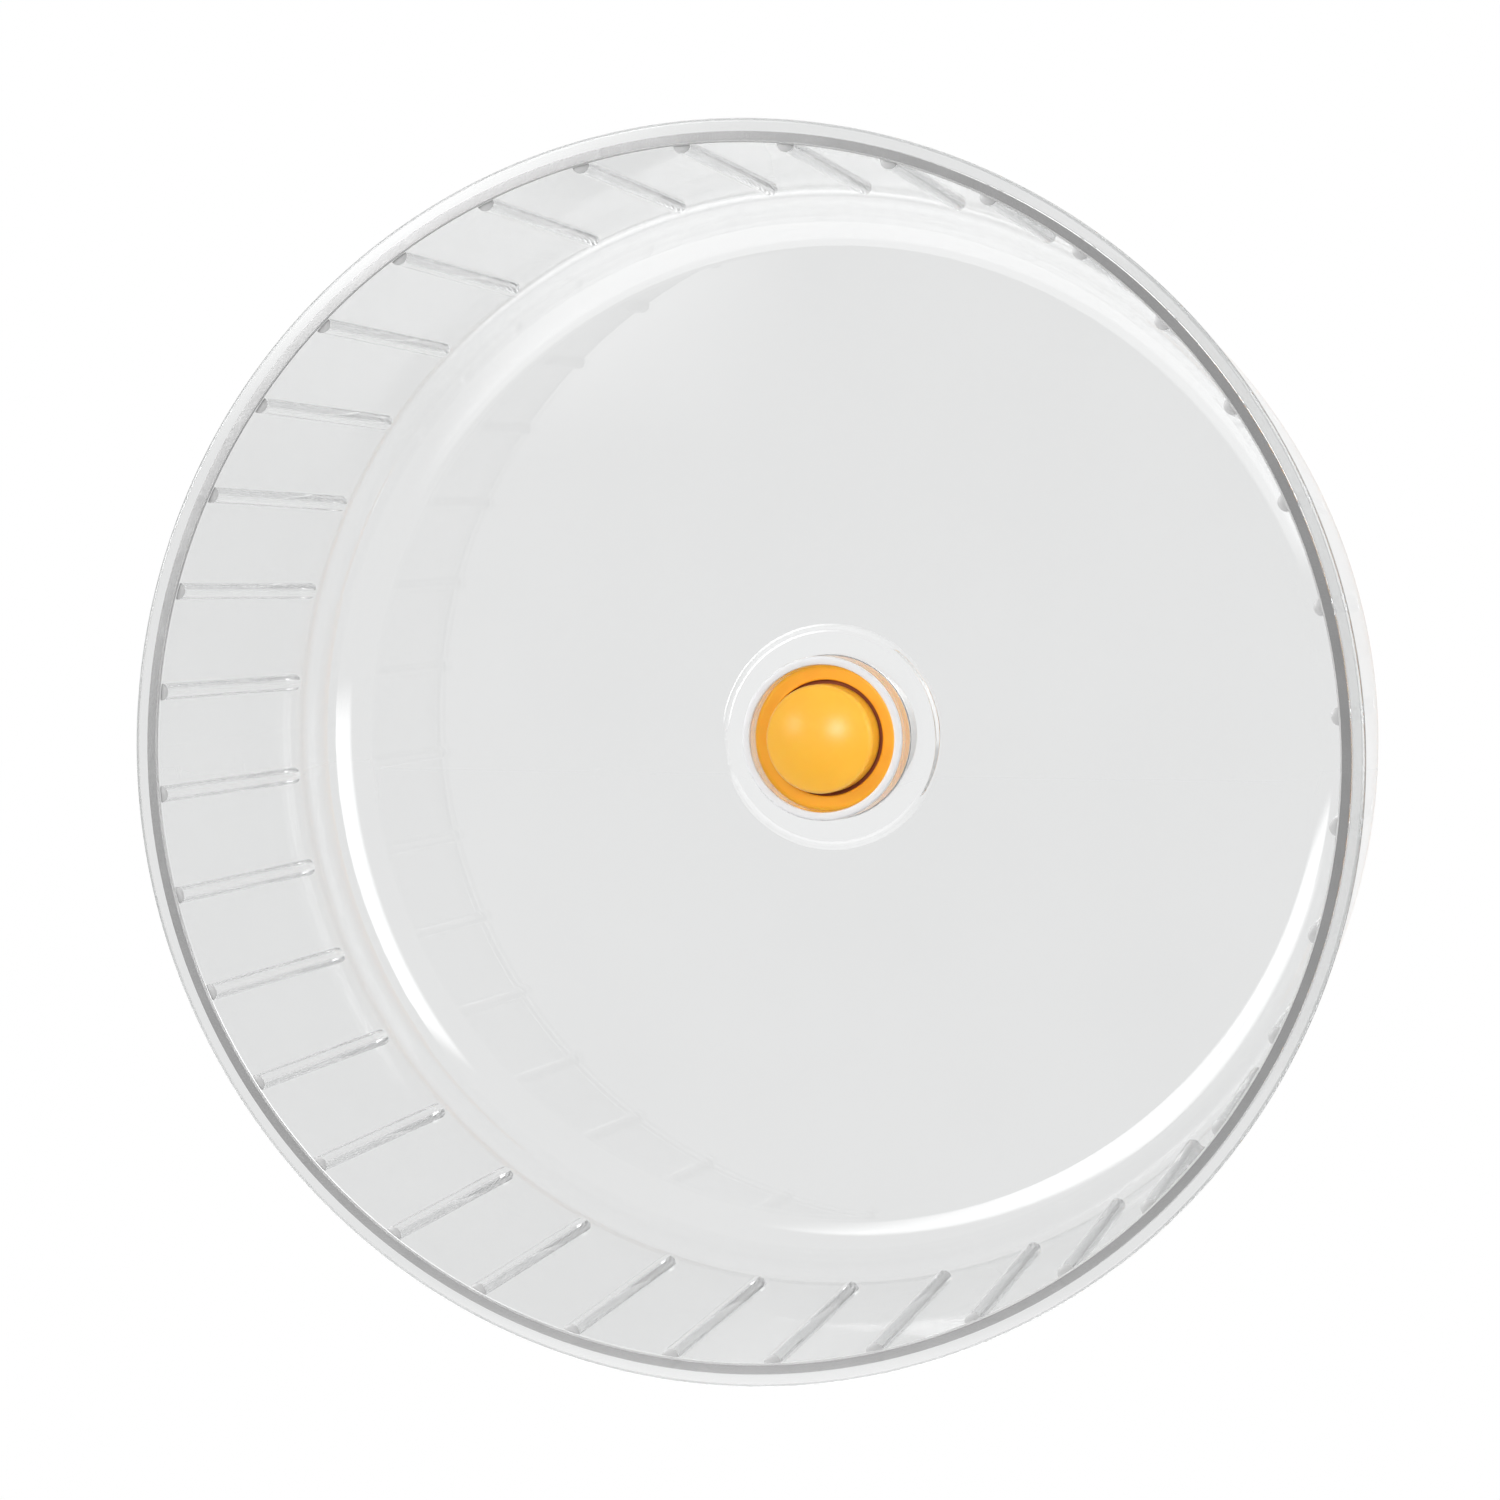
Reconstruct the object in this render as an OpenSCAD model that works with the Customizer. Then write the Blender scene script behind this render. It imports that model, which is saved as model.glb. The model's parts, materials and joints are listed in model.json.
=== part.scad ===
// Clear running wheel on a fixed axle with two ball bearings.
// The wheel spins about Y. The open front faces -Y and the axle's tail leaves along +Y.
// The origin is on the axis, on the flat rear face of the collar that meets the wall or stand.

/* [Drum] */
// Diameter across the front lip
rim_d = 210; // [150:1:290]
// Depth from the front rim to the rear face of the back disc
drum_depth = 77.2; // [60:0.1:110]
// Thickness of the tread wall
wall_t = 1.8; // [1.4:0.1:3]
// How far the front lip stands out from the wall
lip_w = 2.2; // [1:0.1:5]
// Thickness of the front lip along the axis
lip_t = 2; // [1:0.1:5]
// Rounding of the lip's edges
lip_round = 0.6; // [0.2:0.1:0.9]
// Draft angle of the tread wall
draft = 2; // [0.5:0.1:4]
// Thickness of the back disc
disc_t = 2.2; // [1.6:0.1:4]
// Inside radius of the corner between the tread wall and the disc
corner_r = 10.5; // [5:0.5:14]

/* [Ribs] */
// Number of ribs round the tread
rib_n = 36; // [18:1:48]
// Width of a half-round rib
rib_w = 3; // [1.6:0.1:4]
// Distance from the front rim to the start of the ribs
rib_setback = 0.6; // [0.2:0.1:4]
// Distance from the rear end of the ribs to the rounded corner
rib_rear_gap = 4.5; // [0:0.5:20]
// Angle of the first rib above the horizontal
rib_phase = 4.4; // [0:0.1:10]
// Least wall left behind a rib
rib_skin = 0.36; // [0.2:0.02:0.8]

/* [Hub boss] */
// Wall of the clear hub boss round the bush
boss_wall = 1.55; // [1:0.05:6]
// Height of the boss in front of the disc
boss_h = 7.7; // [6:0.1:14]
// Rounding of the boss's front edges
boss_round = 0.5; // [0.2:0.1:0.7]
// Width of the shallow pad round the boss
pad_w = 6; // [3:0.1:15]
// Height of the pad
pad_h = 0.6; // [0.3:0.1:2.4]
// Width of the pad's sloped edge
pad_slope = 2; // [0.5:0.1:2.8]

/* [Bush] */
// Wall of the bush round the bearings
bush_wall = 1.6; // [1.2:0.05:3]
// How far the bush stands out in front of the disc over its tail behind it
bush_step = 0.85; // [0.3:0.05:3]
// How far the bush's front face sits below the boss's rim
bush_drop = 3.2; // [1:0.1:5]
// Rounding of the bush's front outer edge
bush_round = 1; // [0.3:0.1:1.4]
// How far the bush's lip reaches in over the front bearing's outer race
bush_lip_reach = 1.7; // [0.8:0.1:2.4]
// Thickness of the lip in front of the bearing
bush_lip_t = 1.2; // [0.8:0.1:2.5]
// How far the recess round the cap stands out from the lip's bore
recess_step = 1.3; // [0.8:0.1:2.4]
// Depth of the recess round the cap
recess_h = 2; // [1.4:0.1:4]
// Width of the push-on lock washer round the bush behind the disc
washer_w = 1.4; // [0.8:0.1:5]
// Thickness of the lock washer
washer_t = 0.8; // [0.5:0.1:1.6]
// Number of teeth on the lock washer
washer_teeth = 8; // [5:1:14]

/* [Bearings] */
// Bore of each bearing
bearing_bore = 8; // [7:0.5:8.5]
// Outside diameter of each bearing
bearing_od = 22; // [19.6:0.1:25]
// Width of each bearing
bearing_w = 7; // [6.6:0.1:9]
// Ball diameter
ball_d = 3.969; // [3.4:0.001:4.2]
// Number of balls in each bearing
ball_n = 7; // [5:1:8]
// Thickness of each race's wall
race_t = 2; // [1.9:0.05:2.3]
// Thickness of each seal
seal_t = 0.5; // [0.3:0.05:0.6]
// Length of the spacers between the bearings
spacer_t = 2; // [1:0.1:8]
// Thickness of the circlip behind the rear bearing
circlip_t = 1; // [0.8:0.05:1.5]
// Depth of the circlip's groove
circlip_groove = 0.5; // [0.3:0.05:0.7]
// Bush left behind the circlip
circlip_land = 1.25; // [0.8:0.05:3]

/* [Axle] */
// Length of the axle's free tail behind the mounting face
tail_len = 20; // [10:1:60]
// Diameter of the free tail
tail_d = 6; // [4:0.1:6.6]
// Chamfer on the tail's end
tail_chamfer = 0.8; // [0.3:0.1:1.5]
// Width across the flats of the bolt head and the nut
hex_af = 13; // [11:0.5:14]
// Height of the bolt head
head_h = 5.3; // [4:0.1:5.8]
// Height of the lock nut
nut_h = 4; // [3:0.1:5]
// Thickness of the shims beside the inner races
shim_t = 1; // [0.6:0.05:1.6]
// Diameter of the shims
shim_d = 12; // [10:0.1:12.4]

/* [Cap and collar] */
// Gap round the domed cap in its recess
cap_gap = 0.7; // [0.4:0.05:1.2]
// Height of the cap's straight side
cap_side = 6.4; // [5:0.1:10]
// Height of the cap's dome
dome_h = 2.6; // [1:0.1:6]
// Diameter of the rear collar
collar_d = 20; // [17:0.5:30]
// Thickness of the rear collar
collar_t = 6; // [5:0.1:15]
// Rounding of the collar's rear edge
collar_round = 0.8; // [0.3:0.1:1.5]

/* [Fits] */
// Radial clearance between pieces that are pressed or pushed together
press_clear = 0.02; // [0.01:0.01:0.05]
// Clearance between a hex and its pocket
hex_clear = 0.1; // [0.05:0.01:0.2]
// Axial gap between turning and fixed pieces
running_gap = 1; // [0.5:0.1:1.2]
// Gap between the balls and their grooves and pockets
ball_clear = 0.06; // [0.04:0.01:0.1]
// Gap between a seal and the inner race, and between the cage and a seal
seal_gap = 0.2; // [0.1:0.01:0.3]
// Axial play of the circlip
circlip_play = 0.05; // [0.02:0.01:0.1]

/* [Hidden] */
$fn = 96;

clear_colour = [0.90, 0.93, 0.95, 0.45];
orange_colour = [0.98, 0.63, 0.13];
dome_colour = [0.99, 0.72, 0.22];
steel_colour = [0.72, 0.73, 0.75];
seal_colour = [0.16, 0.16, 0.17];
cage_colour = [0.88, 0.86, 0.78];

// Stations along the axis, measured forwards from the mounting face
bush_rear = collar_t + running_gap;
circlip_rear = bush_rear + circlip_land;
rear_bearing = circlip_rear + circlip_t + circlip_play;
front_bearing = rear_bearing + bearing_w + spacer_t;
stack_front = front_bearing + bearing_w;
nut_rear = rear_bearing - shim_t - nut_h;
head_rear = stack_front + shim_t;
bush_lip_front = stack_front + bush_lip_t;
bush_front = bush_lip_front + recess_h;
cap_rear = bush_lip_front + running_gap;
cap_shoulder = cap_rear + cap_side;
boss_front = bush_front + bush_drop;
disc_front = boss_front - boss_h;
disc_rear = disc_front - disc_t;
rim_front = disc_rear + drum_depth;

// Diameters of the hub, which follow the bearings
bush_tail_d = bearing_od + 2 * bush_wall;
bush_d = bush_tail_d + 2 * bush_step;
bush_lip_d = bearing_od - 2 * bush_lip_reach;
recess_d = bush_lip_d + 2 * recess_step;
cap_d = recess_d - 2 * cap_gap;
boss_d = bush_d + 2 * boss_wall;
pad_d = boss_d + 2 * pad_w;
washer_d = bush_tail_d + 2 * washer_w;

// Radii
rim_r = rim_d / 2;
wall_out_r = rim_r - lip_w;
wall_in_r = wall_out_r - wall_t;
bore_r = bearing_bore / 2;
seat_r = bearing_od / 2 + press_clear;
pitch_r = (bearing_bore + bearing_od) / 4;
inner_land_r = bore_r + race_t;
outer_land_r = bearing_od / 2 - race_t;
seal_step = race_t / 5;
cap_r = cap_d / 2;
dome_r = (cap_r * cap_r + dome_h * dome_h) / (2 * dome_h);
rib_sink = min(rib_w / 2, wall_t - rib_skin);
outer_corner_r = corner_r + wall_t;
overcut = 1;

// Radius of a drafted wall at a station, given its radius at the front rim
function wall_r(front_r, station) = front_r - (rim_front - station) * tan(draft);

// Section turned about the wheel's axis: x is the radius and y is the station
module turned() {
    rotate([90, 0, 0]) rotate_extrude() children();
}

// Solid that stands on a station and runs forwards along the axis
module at_station(station) {
    rotate([90, 0, 0]) translate([0, 0, station]) children();
}

// Rectangle in a section, from one radius and station to another
module band(r_in, r_out, rear, front) {
    translate([r_in, rear]) square([r_out - r_in, front - rear]);
}

// Cutter that rounds the front outer corner of a section
module front_outer_round(r_out, front, round) {
    translate([r_out - round, front - round]) difference() {
        square(round + overcut);
        circle(round);
    }
}

// Cutter that rounds the rear outer corner of a section
module rear_outer_round(r_out, rear, round) {
    translate([r_out - round, rear + round]) mirror([0, 1]) difference() {
        square(round + overcut);
        circle(round);
    }
}

// Solid section of a drafted cup from the axis out, with a rounded rear corner
module cup_section(front_r, rear, front, round) {
    centre_y = rear + round;
    centre_x = wall_r(front_r, centre_y) - round / cos(draft);
    tangent_x = centre_x + round * cos(draft);
    tangent_y = centre_y - round * sin(draft);
    polygon([[0, rear], [centre_x, rear], [tangent_x, tangent_y], [wall_r(front_r, front), front], [0, front]]);
    translate([centre_x, centre_y]) circle(round);
}

module drum_section() {
    difference() {
        union() {
            difference() {
                cup_section(wall_out_r, disc_rear, rim_front, outer_corner_r);
                cup_section(wall_in_r, disc_front, rim_front + overcut, corner_r);
            }
            lip_section();
            pad_section();
            boss_section();
        }
        band(0, bush_tail_d / 2 + press_clear, disc_rear - overcut, boss_front + overcut);
        band(0, bush_d / 2 + press_clear, disc_front, boss_front + overcut);
    }
}

module lip_section() {
    difference() {
        band(wall_r(wall_out_r, rim_front - lip_t) - wall_t / 2, rim_r, rim_front - lip_t, rim_front);
        front_outer_round(rim_r, rim_front, lip_round);
        rear_outer_round(rim_r, rim_front - lip_t, lip_round);
    }
}

module pad_section() {
    pad_rear = disc_front - disc_t / 2;
    pad_front = disc_front + pad_h;
    polygon([[0, pad_rear], [pad_d / 2, pad_rear], [pad_d / 2, disc_front],
        [pad_d / 2 - pad_slope, pad_front], [0, pad_front]]);
}

module boss_section() {
    difference() {
        band(0, boss_d / 2, disc_front - disc_t / 2, boss_front);
        front_outer_round(boss_d / 2, boss_front, boss_round);
    }
}

// Half-round rib along the drafted wall, with a sloped rear end
module rib() {
    start = rim_front - rib_setback;
    reach = (start - disc_front - corner_r - rib_rear_gap) / cos(draft);
    axis_r = wall_r(wall_in_r, start) - rib_w / 2 + rib_sink;
    translate([axis_r, 0, start]) rotate([180, draft, 0]) difference() {
        cylinder(h = reach, d = rib_w, $fn = 12);
        translate([0, 0, reach]) rotate([0, -45, 0])
            translate([-rib_w, -rib_w, 0]) cube([2 * rib_w, 2 * rib_w, rib_w]);
    }
}

module drum() {
    color(clear_colour) {
        turned() drum_section();
        for (i = [0 : rib_n - 1])
            at_station(0) rotate([0, 0, rib_phase + i * 360 / rib_n]) rib();
    }
}

module hub_bush() {
    color(orange_colour) turned() difference() {
        union() {
            band(0, bush_tail_d / 2, bush_rear, disc_front);
            band(0, bush_d / 2, disc_front, bush_front);
        }
        front_outer_round(bush_d / 2, bush_front, bush_round);
        band(0, seat_r, bush_rear - overcut, stack_front);
        band(0, seat_r + circlip_groove, circlip_rear, circlip_rear + circlip_t + circlip_play);
        band(0, bush_lip_d / 2, stack_front - overcut, bush_front);
        band(0, recess_d / 2, bush_lip_front, bush_front + overcut);
    }
}

module bush_lock_washer() {
    tooth_r = bush_tail_d / 2 + press_clear;
    slot_w = tooth_r / washer_teeth;
    slot_end = (tooth_r + washer_d / 2) / 2;
    color(steel_colour) at_station(disc_rear - washer_t) linear_extrude(washer_t) difference() {
        circle(washer_d / 2);
        circle(tooth_r);
        for (i = [0 : washer_teeth - 1])
            rotate(i * 360 / washer_teeth) translate([0, -slot_w / 2]) square([slot_end, slot_w]);
    }
}

module hub_cap() {
    pocket_h = head_rear + head_h - cap_rear + hex_clear;
    color(dome_colour) difference() {
        turned() {
            band(0, cap_r, cap_rear, cap_shoulder);
            intersection() {
                translate([0, cap_shoulder + dome_h - dome_r]) circle(dome_r);
                band(0, cap_r, cap_shoulder - dome_h / 2, cap_shoulder + dome_h + overcut);
            }
        }
        at_station(cap_rear - overcut) hexagon(hex_af + 2 * hex_clear, pocket_h + overcut);
    }
}

// Hexagonal prism by its width across the flats
module hexagon(across, height) {
    cylinder(h = height, d = across / cos(30), $fn = 6);
}

module axle_bolt() {
    color(steel_colour) {
        turned() {
            band(0, bore_r - press_clear, 0, head_rear + head_h / 2);
            difference() {
                band(0, tail_d / 2, -tail_len, overcut);
                translate([tail_d / 2, -tail_len]) rotate(45) square(tail_chamfer * sqrt(2), center = true);
            }
        }
        at_station(head_rear) hexagon(hex_af, head_h);
    }
}

module shim(rear) {
    color(steel_colour) turned() band(bore_r, shim_d / 2, rear, rear + shim_t);
}

module front_shim() {
    shim(stack_front);
}

module rear_shim() {
    shim(rear_bearing - shim_t);
}

module inner_spacer() {
    color(steel_colour) turned()
        band(bore_r, shim_d / 2, rear_bearing + bearing_w, front_bearing);
}

module outer_spacer() {
    color(steel_colour) turned()
        band(outer_land_r + seal_step, bearing_od / 2, rear_bearing + bearing_w, front_bearing);
}

module lock_nut() {
    color(steel_colour) difference() {
        at_station(nut_rear) hexagon(hex_af, nut_h);
        at_station(nut_rear - overcut) cylinder(h = nut_h + 2 * overcut, r = bore_r);
    }
}

module rear_collar() {
    color(orange_colour) difference() {
        turned() difference() {
            band(bore_r, collar_d / 2, 0, collar_t);
            rear_outer_round(collar_d / 2, 0, collar_round);
        }
        at_station(nut_rear) hexagon(hex_af + 2 * hex_clear, nut_h);
    }
}

// Snap ring in the bush, open at the bottom between two drilled ears
module bearing_circlip() {
    ring_out_r = seat_r + circlip_groove - press_clear;
    ring_in_r = outer_land_r + seal_step;
    ear_r = (ring_out_r - ring_in_r) * 0.75;
    ear_at = ring_in_r;
    ear_angle = 16;
    color(steel_colour) at_station(circlip_rear) linear_extrude(circlip_t) difference() {
        union() {
            difference() {
                circle(ring_out_r);
                circle(ring_in_r);
                polygon([[0, 0],
                    [-2 * ring_out_r * tan(ear_angle), -2 * ring_out_r],
                    [2 * ring_out_r * tan(ear_angle), -2 * ring_out_r]]);
            }
            for (side = [-1, 1])
                rotate(side * ear_angle) translate([0, -ear_at]) circle(ear_r);
        }
        for (side = [-1, 1])
            rotate(side * ear_angle) translate([0, -ear_at]) circle(ear_r / 2);
    }
}

// Pieces of one ball bearing, each standing on the station of its rear face
module inner_race(rear) {
    color(steel_colour) turned() difference() {
        band(bore_r, inner_land_r, rear, rear + bearing_w);
        translate([pitch_r, rear + bearing_w / 2]) circle(ball_d / 2 + ball_clear);
    }
}

module outer_race(rear) {
    step_depth = seal_t + seal_gap;
    color(steel_colour) turned() difference() {
        band(outer_land_r, bearing_od / 2, rear, rear + bearing_w);
        band(0, outer_land_r + seal_step, rear - overcut, rear + step_depth);
        band(0, outer_land_r + seal_step, rear + bearing_w - step_depth, rear + bearing_w + overcut);
        translate([pitch_r, rear + bearing_w / 2]) circle(ball_d / 2 + ball_clear);
    }
}

module balls(rear) {
    color(steel_colour) at_station(rear + bearing_w / 2)
        for (i = [0 : ball_n - 1])
            rotate([0, 0, i * 360 / ball_n]) translate([pitch_r, 0, 0]) sphere(d = ball_d);
}

// Crown cage: a ring with a pocket for each ball, open towards the front
module ball_cage(rear) {
    cage_half_t = ball_d / 5;
    cage_rear = rear + seal_t + 2 * seal_gap;
    cage_front = rear + bearing_w / 2 + ball_d / 5;
    color(cage_colour) difference() {
        turned() band(pitch_r - cage_half_t, pitch_r + cage_half_t, cage_rear, cage_front);
        at_station(rear + bearing_w / 2)
            for (i = [0 : ball_n - 1])
                rotate([0, 0, i * 360 / ball_n]) translate([pitch_r, 0, 0]) sphere(d = ball_d + 2 * ball_clear);
    }
}

module seal(rear) {
    color(seal_colour) turned()
        band(inner_land_r + seal_gap, outer_land_r + seal_step - press_clear, rear, rear + seal_t);
}

module rear_seal_of(rear) {
    seal(rear + seal_gap);
}

module front_seal_of(rear) {
    seal(rear + bearing_w - seal_gap - seal_t);
}

drum();
hub_bush();
bush_lock_washer();
hub_cap();
axle_bolt();
front_shim();
rear_shim();
inner_spacer();
outer_spacer();
lock_nut();
rear_collar();
bearing_circlip();
inner_race(front_bearing);  // front_inner_race
outer_race(front_bearing);  // front_outer_race
ball_cage(front_bearing);  // front_ball_cage
balls(front_bearing);  // front_balls
front_seal_of(front_bearing);  // front_bearing_front_seal
rear_seal_of(front_bearing);  // front_bearing_rear_seal
inner_race(rear_bearing);  // rear_inner_race
outer_race(rear_bearing);  // rear_outer_race
ball_cage(rear_bearing);  // rear_ball_cage
balls(rear_bearing);  // rear_balls
front_seal_of(rear_bearing);  // rear_bearing_front_seal
rear_seal_of(rear_bearing);  // rear_bearing_rear_seal
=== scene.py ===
import json
import math

import bmesh
import bpy
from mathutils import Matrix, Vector


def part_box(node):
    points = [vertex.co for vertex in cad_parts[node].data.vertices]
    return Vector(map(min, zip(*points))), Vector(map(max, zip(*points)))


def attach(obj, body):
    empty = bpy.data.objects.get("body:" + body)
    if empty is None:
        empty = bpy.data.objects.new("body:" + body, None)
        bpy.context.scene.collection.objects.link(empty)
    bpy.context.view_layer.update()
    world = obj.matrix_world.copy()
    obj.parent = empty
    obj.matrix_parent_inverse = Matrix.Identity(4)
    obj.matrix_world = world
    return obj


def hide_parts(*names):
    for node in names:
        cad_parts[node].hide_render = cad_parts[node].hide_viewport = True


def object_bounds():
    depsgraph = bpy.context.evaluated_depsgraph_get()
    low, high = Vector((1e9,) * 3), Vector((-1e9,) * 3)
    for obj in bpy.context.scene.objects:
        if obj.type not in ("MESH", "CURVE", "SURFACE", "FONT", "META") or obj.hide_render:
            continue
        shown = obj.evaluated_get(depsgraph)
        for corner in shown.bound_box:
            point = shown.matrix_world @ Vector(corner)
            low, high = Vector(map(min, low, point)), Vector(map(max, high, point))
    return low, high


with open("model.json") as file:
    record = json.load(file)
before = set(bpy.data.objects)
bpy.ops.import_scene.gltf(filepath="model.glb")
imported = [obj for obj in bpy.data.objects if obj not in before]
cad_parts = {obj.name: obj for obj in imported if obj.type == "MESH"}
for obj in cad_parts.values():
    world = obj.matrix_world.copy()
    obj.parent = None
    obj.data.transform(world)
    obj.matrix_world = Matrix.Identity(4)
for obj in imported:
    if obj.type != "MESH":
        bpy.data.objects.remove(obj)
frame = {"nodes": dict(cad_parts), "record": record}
cadLow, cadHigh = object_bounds()
print("frame loaded:", len(frame["nodes"]), "nodes")

axleAxis = (0, 1, 0)
alongAxle = (math.pi / 2, 0, 0)  # turns a primitive's own axis onto the axle
rimFront = -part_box("drum")[0].y  # stations are measured forwards, so a station is minus y
discRear = -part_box("drum")[1].y
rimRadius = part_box("drum")[1].x
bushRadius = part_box("hub_bush")[1].x


# Modelling tools

modelling = {
    "seed": 0.001,  # side of the small plane that a section starts from
    "mergeGap": 1e-6,
    "smoothAngle": math.radians(32),
    "flatWeight": 100,  # how much large faces decide the normals
}


def deselectAll():
    if bpy.context.object and bpy.context.object.mode != "OBJECT":
        bpy.ops.object.mode_set(mode="OBJECT")
    bpy.ops.object.select_all(action="DESELECT")


def activate(piece):
    deselectAll()
    piece.select_set(True)
    bpy.context.view_layer.objects.active = piece


def pickVertex(piece, spot):
    bpy.ops.mesh.select_all(action="DESELECT")
    shape = bmesh.from_edit_mesh(piece.data)
    nearest = min(shape.verts, key=lambda v: (v.co - Vector(spot)).length)
    nearest.select_set(True)
    shape.select_flush_mode()
    bmesh.update_edit_mesh(piece.data)


def drawSection(name, corners):  # corners are (radius, station) or (radius, station, rounding, steps)
    deselectAll()
    radius, station = corners[0][:2]
    bpy.ops.mesh.primitive_plane_add(size=modelling["seed"], location=(radius, -station, 0))
    piece = bpy.context.object
    piece.name = piece.data.name = name
    bpy.ops.object.transform_apply()
    bpy.ops.object.mode_set(mode="EDIT")
    bpy.ops.mesh.merge(type="CENTER")  # the plane becomes the first corner
    for last, here in zip(corners, corners[1:]):
        step = (here[0] - last[0], last[1] - here[1], 0)
        bpy.ops.mesh.extrude_region_move(TRANSFORM_OT_translate={"value": step})
    bpy.ops.mesh.select_all(action="SELECT")
    bpy.ops.mesh.edge_face_add()
    spots = [Vector((c[0], -c[1], 0)) for c in corners]
    for i, corner in enumerate(corners):
        if len(corner) == 2:
            continue
        rounding, steps = corner[2:]
        before = spots[i - 1] - spots[i]
        after = spots[(i + 1) % len(spots)] - spots[i]
        reach = rounding / math.tan(before.angle(after) / 2)
        pickVertex(piece, spots[i])
        bpy.ops.mesh.bevel(offset=reach, segments=steps, affect="VERTICES", clamp_overlap=False)
    return piece


def turnSection(piece, steps):  # spins a drawn section into a closed solid
    bpy.ops.mesh.select_all(action="SELECT")
    bpy.ops.mesh.delete(type="ONLY_FACE")
    bpy.ops.mesh.select_all(action="SELECT")
    bpy.ops.mesh.spin(steps=steps, angle=2 * math.pi, center=(0, 0, 0), axis=axleAxis)
    bpy.ops.mesh.select_all(action="SELECT")
    bpy.ops.mesh.remove_doubles(threshold=modelling["mergeGap"])
    bpy.ops.mesh.delete_loose(use_faces=False)  # a section on the axis leaves an edge there
    bpy.ops.mesh.select_all(action="SELECT")
    bpy.ops.mesh.normals_make_consistent(inside=False)
    bpy.ops.object.mode_set(mode="OBJECT")
    return piece


def hexPrism(across, depth, station):  # centred on a station of the axle
    deselectAll()
    bpy.ops.mesh.primitive_cylinder_add(
        vertices=6,
        radius=across / math.sqrt(3),
        depth=depth,
        location=(0, -station, 0),
        rotation=alongAxle,
    )
    bpy.ops.object.transform_apply()
    return bpy.context.object


def combine(piece, other, operation):  # joins or cuts two solids, and drops the second
    activate(piece)
    cut = piece.modifiers.new(operation.lower(), "BOOLEAN")
    cut.object = other
    cut.operation = operation
    cut.solver = "EXACT"
    bpy.ops.object.modifier_apply(modifier=cut.name)
    bpy.data.objects.remove(other)
    return piece


def smooth(piece):  # flat faces stay flat beside their rounded edges
    activate(piece)
    bpy.ops.object.shade_smooth_by_angle(angle=modelling["smoothAngle"])
    weigh = piece.modifiers.new("weigh", "WEIGHTED_NORMAL")
    weigh.keep_sharp = True
    weigh.weight = modelling["flatWeight"]
    bpy.ops.object.modifier_apply(modifier=weigh.name)


def place(piece, node, body):
    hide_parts(node)
    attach(piece, body)
    print(piece.name, "modelled:", len(piece.data.polygons), "faces")
    return piece


# Drum

drum = {
    "wall": 0.0018,
    "lipWidth": 0.0022,
    "lipThick": 0.002,
    "lipRound": 0.0006,
    "edgeRound": 0.0003,
    "draft": math.radians(2),
    "disc": 0.0022,
    "corner": 0.0105,
    "discFlat": 0.089,  # radius at which the corner leaves the disc
    "lead": math.radians(12),  # slope at which it leaves
    "sweep": 0.0115,  # rounding of the inside from there to the wall
    "padWidth": 0.0055,
    "padHeight": 0.0006,
    "padSlope": 0.001,
    "padRound": 0.0014,
    "bossHeight": 0.0077,
    "bossWall": 0.00155,
    "bossRound": 0.0005,
    "fit": 0.00002,
    "grip": 0.00002,
    "steps": 360,
    "cornerSteps": 14,
    "padSteps": 6,
    "roundSteps": 5,
    "rimSteps": 4,
    "edgeSteps": 3,
}
rib = {
    "count": 36,
    "width": 0.003,
    "height": 0.0013,
    "setback": 0.0006,
    "rearGap": 0.0045,
    "frontFlat": 0.2,
    "frontStart": 0.05,  # how far past the middle the front end starts, in half widths
    "phase": math.radians(4.4),
    "segments": 24,
    "rings": 12,
}
discFront = discRear + drum["disc"]
bossFront = discFront + drum["bossHeight"]


def wallRadius(station, depth):  # depth is measured inwards from the outside of the wall
    return rimRadius - drum["lipWidth"] - depth - (rimFront - station) * math.tan(drum["draft"])


def modelRibs():
    half = rib["width"] / 2
    start = rimFront - rib["setback"]
    end = discFront + drum["corner"] + rib["rearGap"] + half
    deselectAll()
    bpy.ops.mesh.primitive_uv_sphere_add(
        segments=rib["segments"],
        ring_count=rib["rings"],
        radius=half,
        rotation=alongAxle,
    )
    first = bpy.context.object
    first.location = (wallRadius(end, drum["wall"]), -end, 0)
    bpy.ops.object.transform_apply(location=False)
    first.scale.x = rib["height"] / half  # a low oval, not a full half-round
    bpy.ops.object.transform_apply()
    bpy.ops.object.mode_set(mode="EDIT")
    shape = bmesh.from_edit_mesh(first.data)
    middle = -end - half * rib["frontStart"]
    for vertex in shape.verts:
        vertex.select_set(vertex.co.y < middle)
    shape.select_flush_mode()
    bmesh.update_edit_mesh(first.data)
    for vertex in shape.verts:  # the front end is nearly flat
        if vertex.select:
            vertex.co.y = -end + (vertex.co.y + end) * rib["frontFlat"]
    run = start - end
    bpy.ops.transform.translate(value=(run * math.tan(drum["draft"]), -run + half * rib["frontFlat"], 0))
    bpy.ops.object.mode_set(mode="OBJECT")
    copies = [first]
    while len(copies) < rib["count"]:
        copy = first.copy()
        copy.data = first.data.copy()
        bpy.context.collection.objects.link(copy)
        copies.append(copy)
    for i, copy in enumerate(copies):
        copy.rotation_euler.y = -(rib["phase"] + i * 2 * math.pi / rib["count"])
    deselectAll()
    for copy in copies:
        copy.select_set(True)
    bpy.context.view_layer.objects.active = first
    bpy.ops.object.transform_apply()
    bpy.ops.object.join()
    return first


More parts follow.
